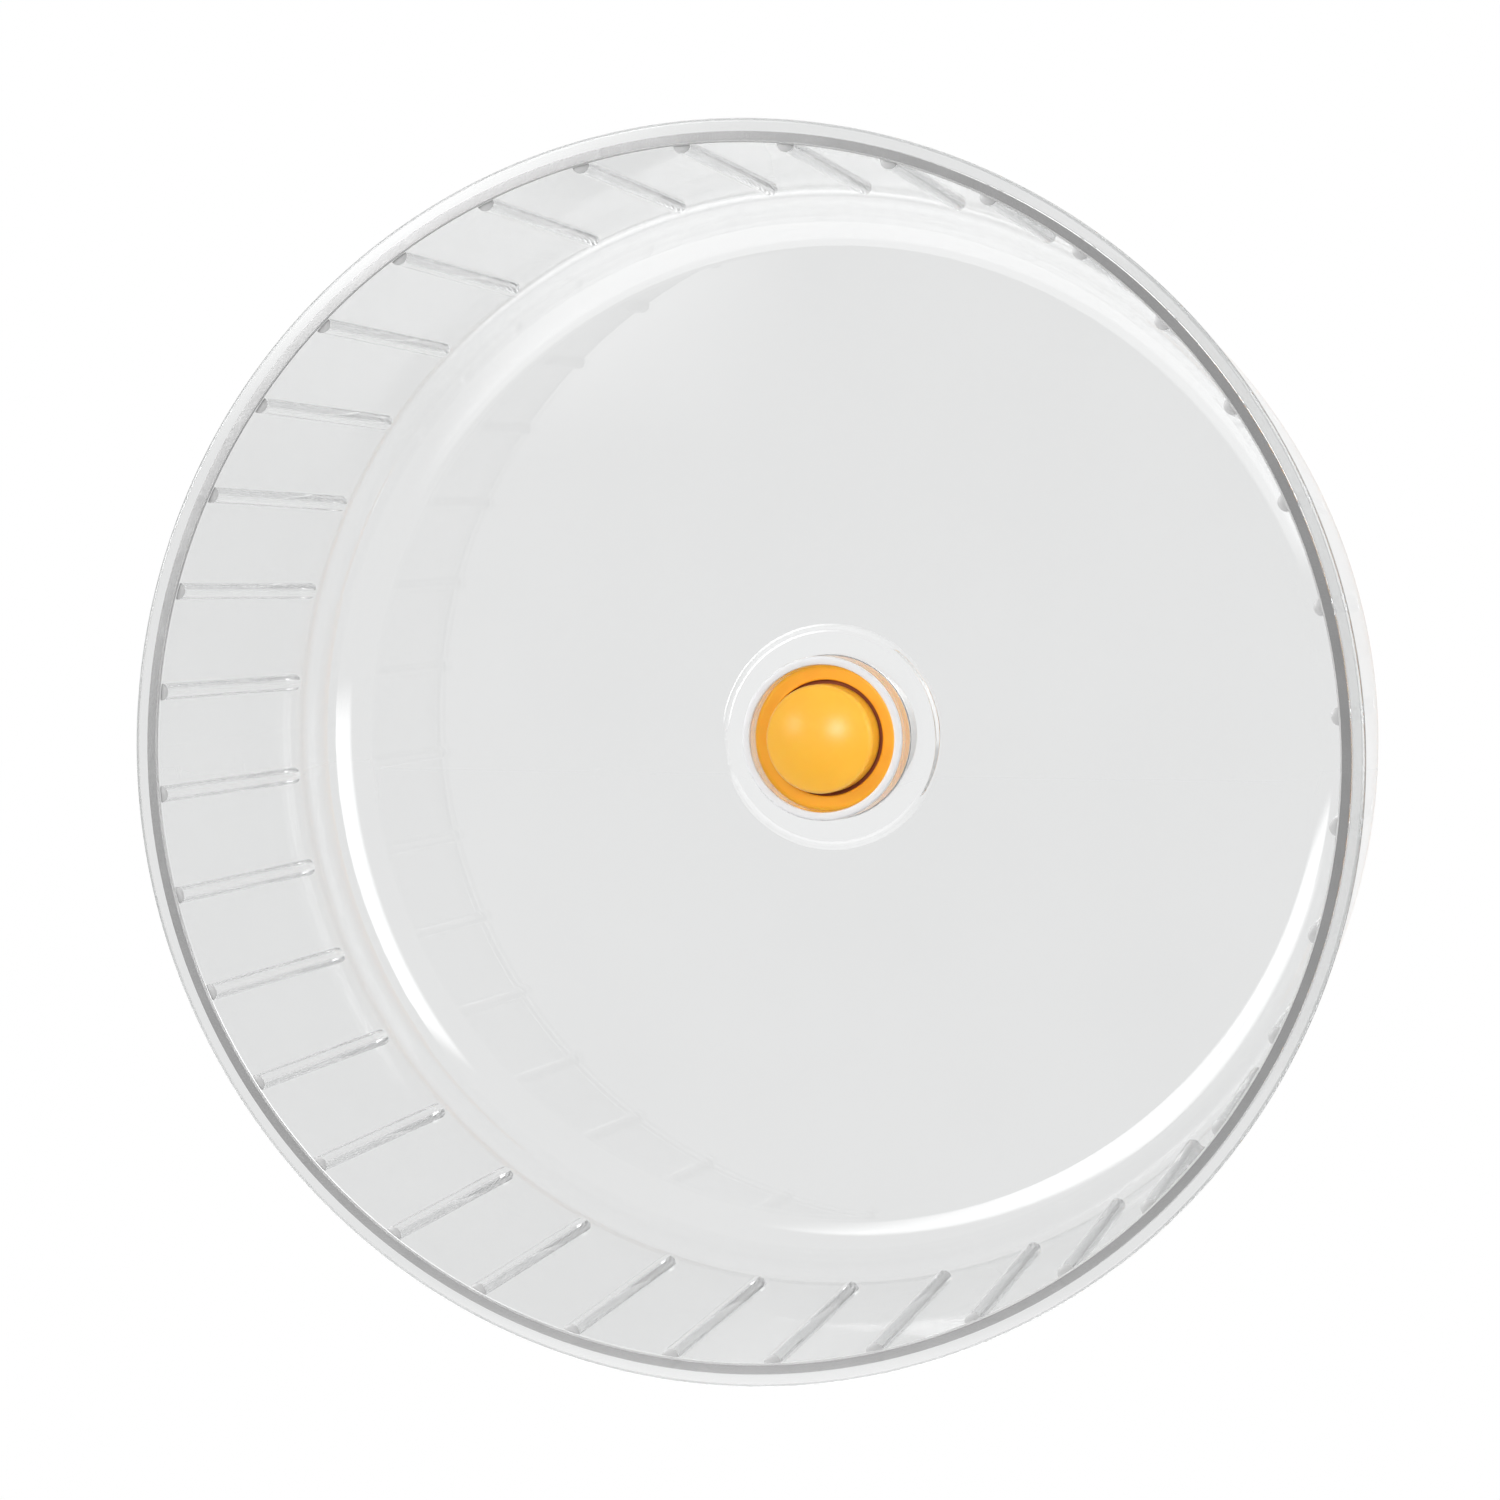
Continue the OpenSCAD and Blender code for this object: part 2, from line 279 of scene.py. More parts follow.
def modelDrum():
    wall, edge, edgeSteps = drum["wall"], drum["edgeRound"], drum["edgeSteps"]
    bushSeat = bushRadius - drum["grip"]  # the boss grips the bush with no air between them
    tailSeat = hubBush["tailRadius"] + drum["fit"]
    bossRadius = bushRadius + drum["bossWall"]
    padRadius = bossRadius + drum["padWidth"]
    padTop = discFront + drum["padHeight"]
    lipRear = rimFront - drum["lipThick"]
    leadRun = wallRadius(discFront, wall) - drum["discFlat"]
    leadStation = discFront + leadRun * math.tan(drum["lead"])
    corners = [
        (tailSeat, discRear),
        (wallRadius(discRear, 0), discRear, drum["corner"] + wall, drum["cornerSteps"]),
        (wallRadius(lipRear, 0), lipRear, edge, edgeSteps),
        (rimRadius, lipRear, drum["lipRound"], drum["roundSteps"]),
        (rimRadius, rimFront, drum["lipRound"], drum["roundSteps"]),
        (wallRadius(rimFront, 0), rimFront),
        (wallRadius(rimFront, wall), rimFront, edge, drum["rimSteps"]),
        (wallRadius(leadStation, wall), leadStation, drum["sweep"], drum["cornerSteps"]),
        (drum["discFlat"], discFront),  # the corner leaves the disc at a faint crease
        (padRadius, discFront, drum["padRound"], drum["padSteps"]),
        (padRadius - drum["padSlope"], padTop, drum["padRound"], drum["padSteps"]),
        (bossRadius, padTop, edge, edgeSteps),
        (bossRadius, bossFront, drum["bossRound"], drum["roundSteps"]),
        (bushSeat, bossFront, edge, edgeSteps),
        (bushSeat, discFront),
        (tailSeat, discFront),
    ]
    piece = turnSection(drawSection("clearDrum", corners), drum["steps"])
    combine(piece, modelRibs(), "UNION")
    smooth(piece)
    return place(piece, "drum", "wheel")


# Hub

hubBush = {
    "tailRadius": 0.0126,
    "seatRadius": 0.01101,
    "lipRadius": 0.0093,
    "lipThick": 0.0012,
    "recessRadius": 0.0106,
    "recess": 0.002,
    "frontRound": 0.001,
    "edgeRound": 0.0003,
    "colourDepth": 0.0034,  # how much of the bush is orange, from its front face
    "steps": 128,
    "frontSteps": 8,
    "recessSteps": 4,
    "edgeSteps": 3,
    "seatSteps": 2,
}


def modelBush():
    low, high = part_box("hub_bush")
    front, rear = -low.y, -high.y
    clipLow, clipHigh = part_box("bearing_circlip")
    grooveRadius = max(clipHigh.x, clipHigh.z) + drum["fit"]
    lipFront = front - hubBush["recess"]
    lipRear = lipFront - hubBush["lipThick"]
    seat, edge = hubBush["seatRadius"], hubBush["edgeRound"]
    corners = [
        (seat, rear, edge, hubBush["seatSteps"]),
        (hubBush["tailRadius"], rear, edge, hubBush["edgeSteps"]),
        (hubBush["tailRadius"], discFront),
        (bushRadius, discFront),
        (bushRadius, front, hubBush["frontRound"], hubBush["frontSteps"]),
        (hubBush["recessRadius"], front, edge, hubBush["recessSteps"]),
        (hubBush["recessRadius"], lipFront),
        (hubBush["lipRadius"], lipFront, edge, hubBush["edgeSteps"]),
        (hubBush["lipRadius"], lipRear),
        (seat, lipRear),
        (seat, -clipLow.y),
        (grooveRadius, -clipLow.y),
        (grooveRadius, -clipHigh.y),
        (seat, -clipHigh.y),
    ]
    piece = turnSection(drawSection("hubBush", corners), hubBush["steps"])
    smooth(piece)
    return place(piece, "hub_bush", "wheel")


hubCap = {
    "side": 0.0064,
    "shoulderRound": 0.0012,
    "edgeRound": 0.0003,
    "domePoints": 12,
    "pocketAcross": 0.0132,
    "pocketDepth": 0.0042,
    "steps": 128,
    "shoulderSteps": 8,
    "edgeSteps": 3,
}


def modelCap():
    low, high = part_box("hub_cap")
    crown, rear, radius = -low.y, -high.y, high.x
    shoulder = rear + hubCap["side"]
    rise = crown - shoulder
    domeRadius = (radius ** 2 + rise ** 2) / (2 * rise)
    spread = math.asin(radius / domeRadius)
    dome = [spread * (1 - i / hubCap["domePoints"]) for i in range(1, hubCap["domePoints"] + 1)]
    corners = [
        (0, rear),
        (radius, rear, hubCap["edgeRound"], hubCap["edgeSteps"]),
        (radius, shoulder, hubCap["shoulderRound"], hubCap["shoulderSteps"]),
        *[(domeRadius * math.sin(a), crown - domeRadius * (1 - math.cos(a))) for a in dome],
    ]
    piece = turnSection(drawSection("hubCap", corners), hubCap["steps"])
    combine(piece, hexPrism(hubCap["pocketAcross"], 2 * hubCap["pocketDepth"], rear), "DIFFERENCE")
    smooth(piece)
    return place(piece, "hub_cap", "axle")


axleBolt = {
    "shankRadius": 0.00398,
    "tailRadius": 0.003,
    "tailChamfer": 0.0008,
    "pitch": 0.001,
    "threadDepth": 0.00055,
    "crest": 0.00014,
    "root": 0.0009,
    "runOut": 0.0012,
    "overlap": 0.00001,  # the ridge stands this far out, and the envelope trims it
    "buried": 0.25,  # share of the thread's depth that the ridge reaches into the core
    "mergeGap": 1e-7,
    "headAcross": 0.013,
    "headHeight": 0.0053,
    "headChamfer": 0.0006,
    "headMargin": 1.01,  # the turned top reaches just past the head's corners
    "steps": 48,
}


def modelThread(tailEnd):
    coreRadius = axleBolt["tailRadius"] - axleBolt["threadDepth"]
    inside = coreRadius - axleBolt["threadDepth"] * axleBolt["buried"]
    crestRadius = axleBolt["tailRadius"] + axleBolt["overlap"]
    root, crest = axleBolt["root"], axleBolt["crest"]
    thread = drawSection("thread", [
        (inside, tailEnd),
        (coreRadius, tailEnd),
        (crestRadius, tailEnd + (root - crest) / 2),
        (crestRadius, tailEnd + (root + crest) / 2),
        (coreRadius, tailEnd + root),
        (inside, tailEnd + root),
    ])
    bpy.ops.object.mode_set(mode="OBJECT")
    activate(thread)
    turns = (-tailEnd - axleBolt["runOut"]) / axleBolt["pitch"]
    wind = thread.modifiers.new("wind", "SCREW")
    wind.axis = "Y"
    wind.angle = turns * 2 * math.pi
    wind.screw_offset = -turns * axleBolt["pitch"]
    wind.steps = wind.render_steps = round(turns * axleBolt["steps"])
    bpy.ops.object.modifier_apply(modifier=wind.name)
    bpy.ops.object.mode_set(mode="EDIT")
    bpy.ops.mesh.select_all(action="SELECT")
    bpy.ops.mesh.remove_doubles(threshold=axleBolt["mergeGap"])
    bpy.ops.mesh.select_all(action="DESELECT")
    bpy.ops.mesh.select_non_manifold()
    bpy.ops.mesh.edge_face_add()
    bpy.ops.mesh.select_all(action="SELECT")
    bpy.ops.mesh.normals_make_consistent(inside=False)
    bpy.ops.object.mode_set(mode="OBJECT")
    return thread


def modelBolt():
    low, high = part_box("axle_bolt")
    headFront, tailEnd = -low.y, -high.y
    headRear = headFront - axleBolt["headHeight"]
    headMiddle = headRear + axleBolt["headHeight"] / 2
    tail, core = axleBolt["tailRadius"], axleBolt["tailRadius"] - axleBolt["threadDepth"]
    chamfer, shank = axleBolt["tailChamfer"], axleBolt["shankRadius"]
    piece = turnSection(drawSection("axleBolt", [
        (0, tailEnd),
        (tail - chamfer, tailEnd),
        (core, tailEnd + core - tail + chamfer),
        (core, -axleBolt["runOut"]),
        (tail, -axleBolt["runOut"] / 2),
        (tail, 0),
        (shank, 0),
        (shank, headMiddle),
        (0, headMiddle),
    ]), axleBolt["steps"])
    envelope = turnSection(drawSection("envelope", [
        (0, tailEnd),
        (tail - chamfer, tailEnd),
        (tail, tailEnd + chamfer),
        (tail, 0),
        (0, 0),
    ]), axleBolt["steps"])
    combine(piece, combine(modelThread(tailEnd), envelope, "INTERSECT"), "UNION")
    head = hexPrism(axleBolt["headAcross"], axleBolt["headHeight"], headMiddle)
    topRadius = axleBolt["headAcross"] / math.sqrt(3) * axleBolt["headMargin"]
    top = turnSection(drawSection("headTop", [
        (0, headRear),
        (topRadius, headRear),
        (topRadius, headFront - axleBolt["headChamfer"]),
        (axleBolt["headAcross"] / 2 - axleBolt["headChamfer"] / 2, headFront),
        (0, headFront),
    ]), axleBolt["steps"])
    combine(piece, combine(head, top, "INTERSECT"), "UNION")
    smooth(piece)
    return place(piece, "axle_bolt", "axle")


clearDrum = modelDrum()
hubPieces = {
    "orange_plastic": modelBush(),
    "cap_plastic": modelCap(),
    "plated_steel": modelBolt(),
}


# Finishes

surface = {
    "noiseDetail": 4,
    "scratchDetail": 2,
    "scratchTurn": (0.3, 0.5, 0.7),
    "scratchStretch": (1, 14, 1),
    "scratchEdges": (0.62, 0.72),
}


def startMaterial(name):
    material = bpy.data.materials.new(name)
    material.use_nodes = True
    nodes, links = material.node_tree.nodes, material.node_tree.links
    return material, nodes, links, nodes["Principled BSDF"]


def surfaceGroup():  # mottle, grain and fine scratches that every finish shares
    group = bpy.data.node_groups.new("surfaceDetail", "ShaderNodeTree")
    group.interface.new_socket("Vector", in_out="INPUT", socket_type="NodeSocketVector")
    for name in ("Mottle Scale", "Grain Scale", "Scratch Scale"):
        group.interface.new_socket(name, in_out="INPUT", socket_type="NodeSocketFloat")
    for name in ("Mottle", "Grain", "Scratches"):
        group.interface.new_socket(name, in_out="OUTPUT", socket_type="NodeSocketFloat")
    nodes, links = group.nodes, group.links
    entry, leave = nodes.new("NodeGroupInput"), nodes.new("NodeGroupOutput")
    for name in ("Mottle", "Grain"):
        noise = nodes.new("ShaderNodeTexNoise")
        noise.inputs["Detail"].default_value = surface["noiseDetail"]
        links.new(entry.outputs["Vector"], noise.inputs["Vector"])
        links.new(entry.outputs[name + " Scale"], noise.inputs["Scale"])
        links.new(noise.outputs["Fac"], leave.inputs[name])
    stretch = nodes.new("ShaderNodeMapping")
    stretch.inputs["Rotation"].default_value = surface["scratchTurn"]
    stretch.inputs["Scale"].default_value = surface["scratchStretch"]
    lines = nodes.new("ShaderNodeTexNoise")
    lines.inputs["Detail"].default_value = surface["scratchDetail"]
    ramp = nodes.new("ShaderNodeValToRGB")
    for stop, position in zip(ramp.color_ramp.elements, surface["scratchEdges"]):
        stop.position = position
    links.new(entry.outputs["Vector"], stretch.inputs["Vector"])
    links.new(stretch.outputs["Vector"], lines.inputs["Vector"])
    links.new(entry.outputs["Scratch Scale"], lines.inputs["Scale"])
    links.new(lines.outputs["Fac"], ramp.inputs["Fac"])
    links.new(ramp.outputs["Color"], leave.inputs["Scratches"])
    return group


surfaceDetail = surfaceGroup()


def addDetail(nodes, links, scales):
    where = nodes.new("ShaderNodeTexCoord")
    detail = nodes.new("ShaderNodeGroup")
    detail.node_tree = surfaceDetail
    for name, scale in scales.items():
        detail.inputs[name + " Scale"].default_value = scale
    links.new(where.outputs["Object"], detail.inputs["Vector"])
    return detail


def mixColours(nodes, links, factor, first, second):
    mix = nodes.new("ShaderNodeMix")
    mix.data_type = "RGBA"
    mix.inputs["A"].default_value = (*first, 1)
    mix.inputs["B"].default_value = (*second, 1)
    links.new(factor, mix.inputs["Factor"])
    return mix.outputs["Result"]


def mapValue(nodes, links, value, low, high):
    spread = nodes.new("ShaderNodeMapRange")
    spread.inputs["To Min"].default_value = low
    spread.inputs["To Max"].default_value = high
    links.new(value, spread.inputs["Value"])
    return spread.outputs["Result"]


def addBump(nodes, links, heights, normal):  # heights are (value, strength, distance)
    last = None
    for value, strength, distance in heights:
        bump = nodes.new("ShaderNodeBump")
        bump.inputs["Strength"].default_value = strength
        bump.inputs["Distance"].default_value = distance
        links.new(value, bump.inputs["Height"])
        if last:
            links.new(last, bump.inputs["Normal"])
        last = bump.outputs["Normal"]
    links.new(last, normal)


def letLampsThrough(nodes, links, shader, tint):  # lamps reach the pieces inside the drum
    path = nodes.new("ShaderNodeLightPath")
    passing = nodes.new("ShaderNodeBsdfTransparent")
    passing.inputs["Color"].default_value = (*tint, 1)
    mix = nodes.new("ShaderNodeMixShader")
    links.new(path.outputs["Is Shadow Ray"], mix.inputs["Fac"])
    links.new(shader.outputs["BSDF"], mix.inputs[1])
    links.new(passing.outputs["BSDF"], mix.inputs[2])
    links.new(mix.outputs["Shader"], nodes["Material Output"].inputs["Surface"])


clearPlastic = {
    "tints": ((0.75, 0.755, 0.755), (0.78, 0.785, 0.785)),
    "roughness": (0.0, 0.06),
    "ior": 1.54,
    "absorb": (0.0, 0.02, 0.02),
    "density": 0.6,
    "lampTint": (0.9, 0.9, 0.9),
    # painted light: a lighter tint for the pad round the hub
    "padPaintedLight": (0.83, 0.835, 0.835),
    "scales": {"Mottle": 30, "Grain": 900, "Scratch": 60},
    "scratchBump": (0.02, 0.0001),
}


def paintedPadLightMask(nodes, links):  # 1 inside the pad round the hub, 0 outside it; it marks where the clear tint is painted lighter, as painted light
    where = nodes.new("ShaderNodeTexCoord")
    flatten = nodes.new("ShaderNodeVectorMath")
    flatten.operation = "MULTIPLY"
    flatten.inputs[1].default_value = (1, 0, 1)
    length = nodes.new("ShaderNodeVectorMath")
    length.operation = "LENGTH"
    inside = nodes.new("ShaderNodeMapRange")
    padRadius = bushRadius + drum["bossWall"] + drum["padWidth"]
    inside.inputs["From Min"].default_value = padRadius
    inside.inputs["From Max"].default_value = padRadius - drum["padSlope"]
    links.new(where.outputs["Object"], flatten.inputs[0])
    links.new(flatten.outputs["Vector"], length.inputs[0])
    links.new(length.outputs["Value"], inside.inputs["Value"])
    return inside.outputs["Result"]


def clearFinish():
    material, nodes, links, shader = startMaterial("clearPlastic")
    detail = addDetail(nodes, links, clearPlastic["scales"])
    scratches = detail.outputs["Scratches"]
    tint = mixColours(nodes, links, detail.outputs["Mottle"], *clearPlastic["tints"])
    # painted light: the pad round the hub gets the lighter tint
    pad = mixColours(nodes, links, paintedPadLightMask(nodes, links), clearPlastic["tints"][0], clearPlastic["padPaintedLight"])
    links.new(tint, pad.node.inputs["A"])  # the mottled tint outside the pad
    links.new(pad, shader.inputs["Base Color"])
    links.new(mapValue(nodes, links, scratches, *clearPlastic["roughness"]), shader.inputs["Roughness"])
    addBump(nodes, links, [(scratches, *clearPlastic["scratchBump"])], shader.inputs["Normal"])
    shader.inputs["Transmission Weight"].default_value = 1
    shader.inputs["IOR"].default_value = clearPlastic["ior"]
    inside = nodes.new("ShaderNodeVolumeAbsorption")
    inside.inputs["Color"].default_value = (*clearPlastic["absorb"], 1)
    inside.inputs["Density"].default_value = clearPlastic["density"]
    links.new(inside.outputs["Volume"], nodes["Material Output"].inputs["Volume"])
    letLampsThrough(nodes, links, shader, clearPlastic["lampTint"])
    return material


def greys(low, high):  # a pair of neutral tints
    return (low, low, low), (high, high, high)


opaqueSurface = {
    "scales": {"Mottle": 180, "Grain": 4000, "Scratch": 300},
    "grainBump": (0.12, 0.0001),
    "scratchBump": (0.06, 0.0001),
    "glowRadius": (1, 0.35, 0.08),
    "glowScale": 0.0006,
}
plainLook = {"metal": 0, "shine": 0.5, "glow": 0}  # for what a finish leaves unsaid
opaque = {
    "orange_plastic": {
        "tints": ((0.95, 0.4, 0.02), (1.0, 0.48, 0.035)),
        "roughness": (0.32, 0.42),
        "glow": 0.3,
        "shine": 0.3,
    },
    "cap_plastic": {
        "tints": ((0.99, 0.47, 0.03), (1.0, 0.52, 0.045)),
        "roughness": (0.26, 0.34),
        "glow": 0.3,
        "shine": 0.4,
    },
    "bearing_steel": {
        "tints": ((0.6, 0.61, 0.62), (0.72, 0.72, 0.73)),
        "roughness": (0.12, 0.25),
        "metal": 1,
    },
    "plated_steel": {
        "tints": ((0.56, 0.57, 0.6), (0.7, 0.7, 0.69)),
        "roughness": (0.22, 0.4),
        "metal": 1,
    },
    "spring_steel": {
        "tints": ((0.84, 0.84, 0.85), (0.9, 0.9, 0.91)),
        "roughness": (0.3, 0.45),
        "metal": 1,
    },
    "seal_rubber": {
        "tints": ((0.012, 0.012, 0.013), (0.025, 0.025, 0.026)),
        "roughness": (0.5, 0.7),
    },
    "cage_plastic": {
        "tints": ((0.66, 0.62, 0.5), (0.74, 0.7, 0.58)),
        "roughness": (0.4, 0.55),
    },
    "bushTail": {
        "tints": ((0.9, 0.9, 0.89), (0.95, 0.95, 0.94)),
        "roughness": (0.4, 0.55),
    },
    # painted highlight: the end of the boss is painted pale and opaque, in place of the bright ring of
    # light there
    "paintedBossEndLight": {
        "tints": ((0.78, 0.78, 0.79), (0.84, 0.84, 0.85)),
        "roughness": (0.4, 0.55),
        "lampTint": (0.9, 0.9, 0.9),
    },
    "gapShade": {
        "tints": ((0.34, 0.06, 0.005), (0.42, 0.08, 0.008)),
        "roughness": (0.5, 0.65),
    },
    # painted tone in the hole of the disc: a pale opaque sheet that stops the orange light carried through
    # the plastic
    "paintedBoreSheet": {"tints": greys(0.8, 0.86), "roughness": (0.5, 0.7)},
    # painted shade on the front ends of the ribs and the round beside the wall's front end
    "paintedRibEndShade": {"tints": greys(0.54, 0.62), "roughness": (0.25, 0.4)},
    # painted shade on the outer edge of the lip
    "paintedRimEdgeShade": {"tints": greys(0.22, 0.27), "roughness": (0.25, 0.4)},
    # painted shade on the front end of the tread wall, dark and metallic
    "paintedRimEndShade": {"tints": greys(0.24, 0.29), "roughness": (0.2, 0.28), "metal": 0.85},
}


def opaqueFinish(name, look):
    look = {**plainLook, **look}
    material, nodes, links, shader = startMaterial(name)
    detail = addDetail(nodes, links, opaqueSurface["scales"])
    mottle, grain, scratches = (detail.outputs[n] for n in ("Mottle", "Grain", "Scratches"))
    links.new(mixColours(nodes, links, mottle, *look["tints"]), shader.inputs["Base Color"])
    links.new(mapValue(nodes, links, grain, *look["roughness"]), shader.inputs["Roughness"])
    heights = [(grain, *opaqueSurface["grainBump"]), (scratches, *opaqueSurface["scratchBump"])]
    addBump(nodes, links, heights, shader.inputs["Normal"])
    shader.inputs["Metallic"].default_value = look["metal"]
    shader.inputs["Specular IOR Level"].default_value = look["shine"]
    shader.inputs["Subsurface Weight"].default_value = look["glow"]
    shader.inputs["Subsurface Radius"].default_value = opaqueSurface["glowRadius"]
    shader.inputs["Subsurface Scale"].default_value = opaqueSurface["glowScale"]
    if "lampTint" in look:
        letLampsThrough(nodes, links, shader, look["lampTint"])
    return material


finishes = {name: opaqueFinish(name, look) for name, look in opaque.items()}
finishes["clear_plastic"] = clearFinish()

facePick = {
    "level": 0.01,  # most that the normal of the lip's edge leans along the axle
    "square": 0.999,  # least that the normal of the front end of the wall points along it
    "hubReach": rimRadius / 4,  # the boss lies well inside this radius
}
drumLooks = ("clear_plastic", "paintedBoreSheet", "paintedRimEdgeShade", "paintedRibEndShade", "paintedBossEndLight", "paintedRimEndShade")
bushLooks = ("orange_plastic", "bushTail", "gapShade")
ribTip = rimFront - rib["setback"] - rib["width"] / 2 * rib["frontFlat"]
bushFront = -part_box("hub_bush")[0].y


def dress(piece, *looks):
    piece.data.materials.clear()
    for look in looks:
        piece.data.materials.append(finishes[look])


def fromAxle(face):  # the radius and station of a face's middle
    return math.hypot(face.center.x, face.center.z), -face.center.y


def drumLook(face):
    radius, station = fromAxle(face)
    inLip = station > rimFront - drum["edgeRound"] and radius < wallRadius(rimFront, 0)
    onRib = station > ribTip and radius < wallRadius(station, drum["wall"]) - drum["fit"]
    onEdge = abs(face.normal.y) < facePick["level"] and radius > rimRadius - drum["edgeRound"]
    onBossEnd = bossFront - drum["edgeRound"] < station < bossFront + drum["fit"]
    if radius < hubBush["tailRadius"] + drum["edgeRound"]:
        return "paintedBoreSheet"  # the hole in the disc: a pale opaque sheet, painted tone that stops the orange light carried through the plastic and sets the pale tone seen there
    if onEdge:
        return "paintedRimEdgeShade"  # the outer edge of the lip, painted dark grey as painted shade
    if inLip and face.normal.y < -facePick["square"]:
        return "paintedRimEndShade"  # the front end of the tread wall inside the lip, a dark metallic face as painted shade
    if onRib or inLip:
        return "paintedRibEndShade"  # painted shade: grey on the front ends of the ribs, and on the round beside the front end of the wall
    if onBossEnd and radius < facePick["hubReach"]:
        return "paintedBossEndLight"  # the end of the boss, painted pale as a painted highlight; it lets lamps through
    return "clear_plastic"


def bushLook(face):
    radius, station = fromAxle(face)
    if station < bushFront - hubBush["colourDepth"] and radius > hubBush["recessRadius"]:
        return "bushTail"  # only the front of the bush is moulded in orange
    if station < bushFront - hubBush["edgeRound"] and radius < hubBush["recessRadius"] + drum["fit"]:
        return "gapShade"  # the dark gap round the cap
    return "orange_plastic"


def dressFaces(piece, looks, choose):  # gives each face the finish that choose names
    dress(piece, *looks)
    for face in piece.data.polygons:
        face.material_index = looks.index(choose(face))


for row in frame["record"]["subparts"]:
    dress(frame["nodes"][row["node"]], row["material_slot"])
for slot, piece in hubPieces.items():
    dress(piece, slot)
dressFaces(clearDrum, drumLooks, drumLook)
dressFaces(hubPieces["orange_plastic"], bushLooks, bushLook)
print("finishes set:", len(finishes))


# Stage, light and camera

stage = {
    "floorDrop": 0.25,
    "floorSize": 12,
    "floorAlbedo": 0.5,
    "floorLift": 0.69,
    "ambient": 0.62,
    "bounces": 256,
}
softboxes = {  # these light every piece but the clear drum
    "keySoftbox": {"place": (0.18, -1.15, 0.19), "size": (0.24, 0.24), "power": 4.4},
    "sideSoftbox": {"place": (-0.68, -0.9, 0.23), "size": (0.24, 0.26), "power": 1.6},
    "fillSoftbox": {"place": (0.95, -0.45, 0.2), "size": (0.5, 0.5), "power": 2.8},
    "backSoftbox": {"place": (0.25, 1.1, 0.45), "size": (0.5, 0.5), "power": 3.0},
}
cards = {  # white cards that shine in the clear drum alone
    "leftCard": {
        "place": (-0.66, -0.86, 0.41),
        "size": (1.1, 0.74),
        "power": 13,
        "soft": 0.2,
        "diffuse": True,
    },
    "sideCard": {
        "place": (-0.77, -0.88, 0.12),
        "size": (0.6, 0.26),
        "power": 2.8,
        "soft": 0.2,
    },
    "rightCard": {
        "place": (0.75, -0.37, 0.24),
        "size": (1.1, 0.85),
        "power": 16,
        "soft": 0.15,
    },
    "lowCard": {
        "place": (-0.45, -0.45, -0.34),
        "size": (1.5, 1.9),
        "power": 18,
        "soft": 0.2,
        "up": True,
    },
}
lampTarget = Vector((0, -0.06, 0))
camera = {
    "azimuth": 14.94,
    "elevation": 2.95,
    "distance": 0.66444,
    "lens": 96.5,
    "sensor": 36,
    "aimRight": 0.00398,
    "aimUp": 0.00119,
}


def seenDirectly(nodes, links):  # 1 for camera, glossy and transmitted rays, which meet the background
    path = nodes.new("ShaderNodeLightPath")
    last = path.outputs["Is Camera Ray"]
    for name in ("Is Glossy Ray", "Is Transmission Ray"):
        either = nodes.new("ShaderNodeMath")
        either.operation = "MAXIMUM"
        links.new(last, either.inputs[0])
        links.new(path.outputs[name], either.inputs[1])
        last = either.outputs["Value"]
    return last


def makeWorld():
    world = bpy.data.worlds.new("studio")
    bpy.context.scene.world = world
    world.use_nodes = True
    nodes, links = world.node_tree.nodes, world.node_tree.links
    sky = nodes["Background"]
    sky.inputs["Color"].default_value = (1, 1, 1, 1)
    seen = seenDirectly(nodes, links)
    links.new(mapValue(nodes, links, seen, stage["ambient"], 1), sky.inputs["Strength"])


def makeFloor():
    deselectAll()
    height = cadLow.z - stage["floorDrop"]
    bpy.ops.mesh.primitive_plane_add(size=stage["floorSize"], location=(0, 0, height))
    floor = bpy.context.object
    floor.name = "floor"
    material, nodes, links, shader = startMaterial("floorPaper")
    shader.inputs["Base Color"].default_value = (*[stage["floorAlbedo"]] * 3, 1)
    shader.inputs["Roughness"].default_value = 1
    shader.inputs["Specular IOR Level"].default_value = 0
    shader.inputs["Emission Color"].default_value = (1, 1, 1, 1)
    seen = seenDirectly(nodes, links)
    links.new(mapValue(nodes, links, seen, 0, stage["floorLift"]), shader.inputs["Emission Strength"])
    floor.data.materials.append(material)


def facing(azimuth, elevation):  # unit vector out from the open front, in degrees
    turn, tilt = math.radians(azimuth), math.radians(elevation)
    return Vector((math.sin(turn) * math.cos(tilt), -math.cos(turn) * math.cos(tilt), math.sin(tilt)))


def fadeEdges(data, reach):  # a card's light falls off towards its edges, as on a lit paper card
    data.use_nodes = True
    nodes, links = data.node_tree.nodes, data.node_tree.links
    where = nodes.new("ShaderNodeNewGeometry")
    sides = nodes.new("ShaderNodeSeparateXYZ")
    links.new(where.outputs["Parametric"], sides.inputs["Vector"])
    both = nodes.new("ShaderNodeMath")
    both.operation = "MULTIPLY"
    for i, axis in enumerate("XY"):
        fromEdge = nodes.new("ShaderNodeMath")
        fromEdge.operation = "PINGPONG"
        fromEdge.inputs[1].default_value = 0.5  # the middle of the card
        fade = nodes.new("ShaderNodeMapRange")
        fade.interpolation_type = "SMOOTHSTEP"
        fade.inputs["From Max"].default_value = reach
        links.new(sides.outputs[axis], fromEdge.inputs[0])
        links.new(fromEdge.outputs["Value"], fade.inputs["Value"])
        links.new(fade.outputs["Result"], both.inputs[i])
    links.new(both.outputs["Value"], nodes["Emission"].inputs["Strength"])


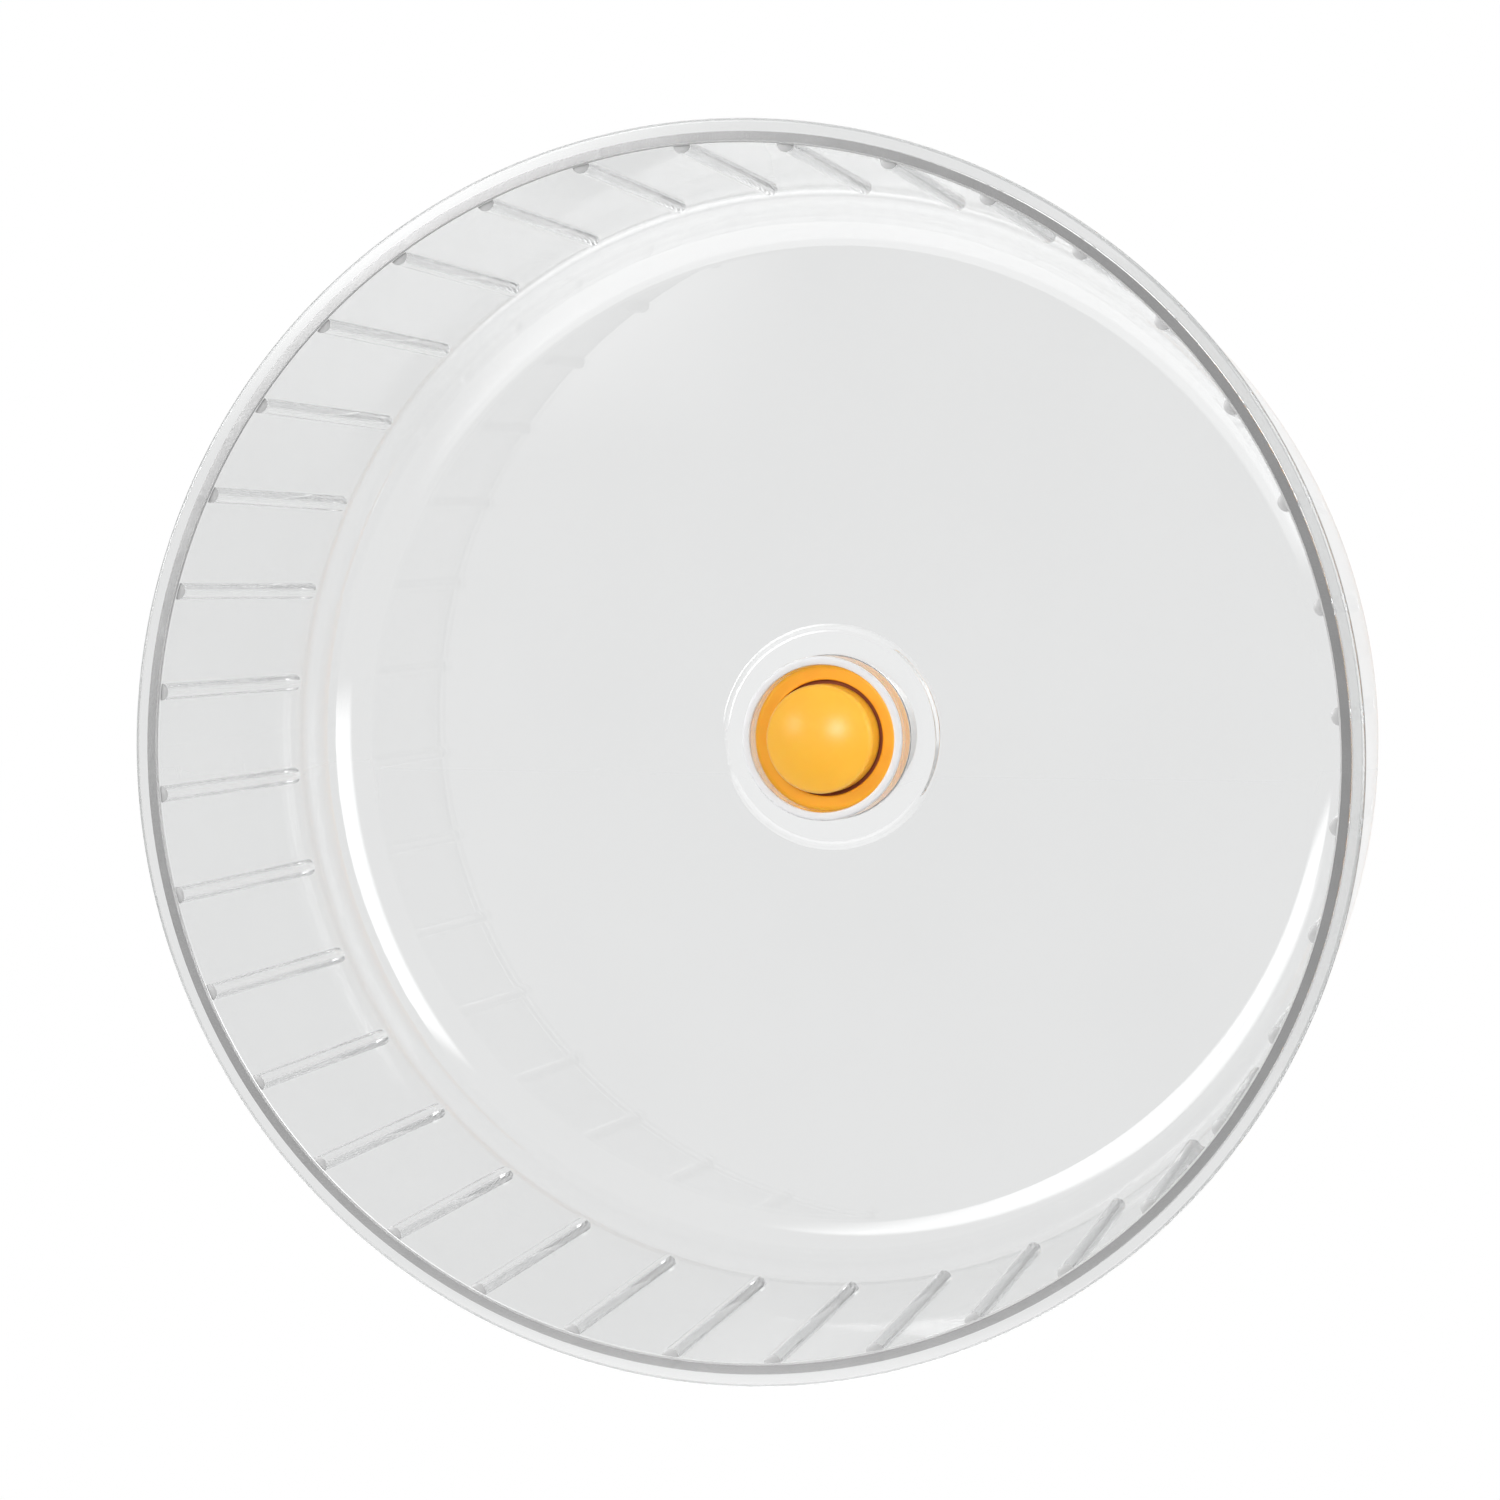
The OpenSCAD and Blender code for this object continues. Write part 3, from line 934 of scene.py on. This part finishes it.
def onlyReflected(data):  # a card under the drum shows in its reflections, not straight through it
    nodes, links = data.node_tree.nodes, data.node_tree.links
    strength = nodes["Emission"].inputs["Strength"]
    faded = strength.links[0].from_socket
    path = nodes.new("ShaderNodeLightPath")
    mirrored = nodes.new("ShaderNodeMath")
    mirrored.operation = "MINIMUM"
    mirrored.inputs[1].default_value = 1
    both = nodes.new("ShaderNodeMath")
    both.operation = "MULTIPLY"
    links.new(path.outputs["Glossy Depth"], mirrored.inputs[0])
    links.new(mirrored.outputs["Value"], both.inputs[0])
    links.new(faded, both.inputs[1])
    links.new(both.outputs["Value"], strength)


def hangLamp(name, lamp, lit):
    data = bpy.data.lights.new(name, "AREA")
    data.shape = "RECTANGLE"
    data.size, data.size_y = lamp["size"]
    data.energy = lamp["power"]
    holder = bpy.data.objects.new(name, data)
    holder.location = lamp["place"]
    aim = Vector((0, 0, -1)) if "up" in lamp else Vector(lamp["place"]) - lampTarget
    holder.rotation_euler = aim.to_track_quat("Z", "Y").to_euler()
    holder.visible_camera = False
    holder.visible_transmission = "up" in lamp
    holder.visible_diffuse = "soft" not in lamp or "diffuse" in lamp  # most cards show in gloss alone
    holder.light_linking.receiver_collection = lit
    if "soft" in lamp:
        fadeEdges(data, lamp["soft"])
    if "up" in lamp:
        onlyReflected(data)
    bpy.context.collection.objects.link(holder)


def makeLamps():
    solids, clear = bpy.data.collections.new("solids"), bpy.data.collections.new("drum")
    clear.objects.link(clearDrum)
    for piece in (*hubPieces.values(), *frame["nodes"].values()):
        solids.objects.link(piece)
    for name, lamp in softboxes.items():
        hangLamp(name, lamp, solids)
    for name, lamp in cards.items():
        hangLamp(name, lamp, clear)


def makeCamera():
    back = facing(camera["azimuth"], camera["elevation"])
    right = facing(camera["azimuth"] + 90, 0)
    up = back.cross(right)
    rimCentre = Vector((0, -rimFront, 0))
    eye = rimCentre + back * camera["distance"]
    target = rimCentre + right * camera["aimRight"] + up * camera["aimUp"]
    data = bpy.data.cameras.new("photoCamera")
    data.lens = camera["lens"]
    data.sensor_width = camera["sensor"]
    holder = bpy.data.objects.new("photoCamera", data)
    holder.location = eye
    holder.rotation_euler = (eye - target).to_track_quat("Z", "Y").to_euler()
    bpy.context.collection.objects.link(holder)
    bpy.context.scene.camera = holder


makeWorld()
makeFloor()
makeLamps()
makeCamera()
bpy.context.scene.view_settings.view_transform = "Standard"
bpy.context.scene.cycles.max_bounces = stage["bounces"]
bpy.context.scene.cycles.glossy_bounces = stage["bounces"]
bpy.context.scene.cycles.transmission_bounces = stage["bounces"]
print("stage set")
